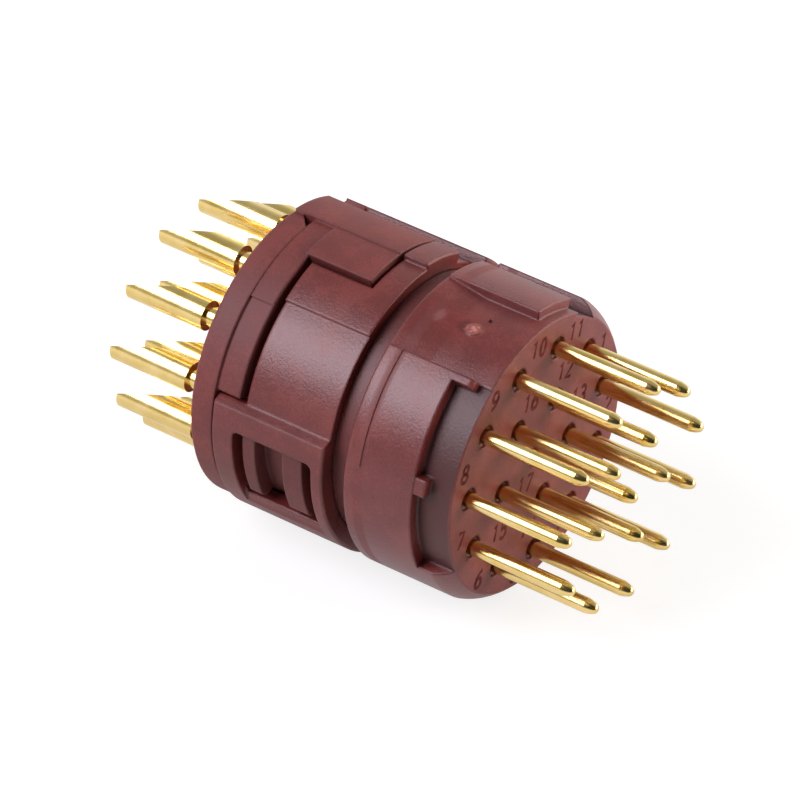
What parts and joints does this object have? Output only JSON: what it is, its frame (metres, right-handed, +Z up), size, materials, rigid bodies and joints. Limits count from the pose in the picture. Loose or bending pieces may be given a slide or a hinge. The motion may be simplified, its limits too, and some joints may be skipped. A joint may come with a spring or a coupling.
{
  "type": "circular connector insert",
  "caption": "Moulded round contact insert with male pins on two circles, a long key and solder cups at the rear.",
  "frame": {"origin": "centre of the mating face, on the insert's axis", "axes": "+X along the insert's axis in the mating direction, +Z up with the key above the axis on the +Z side, +Y across"},
  "size_m": [0.0341, 0.02, 0.0199],
  "materials": {
    "moulded_polyamide": "satin maroon moulded polyamide",
    "gold_plated_contact": "polished gold plate on brass"
  },
  "bodies": {
    "root": {"front_insulator": "moulded_polyamide", "latch_sleeve": "moulded_polyamide", "rear_insulator": "moulded_polyamide", "contact_01": "gold_plated_contact", "contact_02": "gold_plated_contact", "contact_03": "gold_plated_contact", "contact_04": "gold_plated_contact", "contact_05": "gold_plated_contact", "contact_06": "gold_plated_contact", "contact_07": "gold_plated_contact", "contact_08": "gold_plated_contact", "contact_09": "gold_plated_contact", "contact_10": "gold_plated_contact", "contact_11": "gold_plated_contact", "contact_12": "gold_plated_contact", "contact_13": "gold_plated_contact", "contact_14": "gold_plated_contact", "contact_15": "gold_plated_contact", "contact_16": "gold_plated_contact", "contact_17": "gold_plated_contact"}
  },
  "joints": []
}
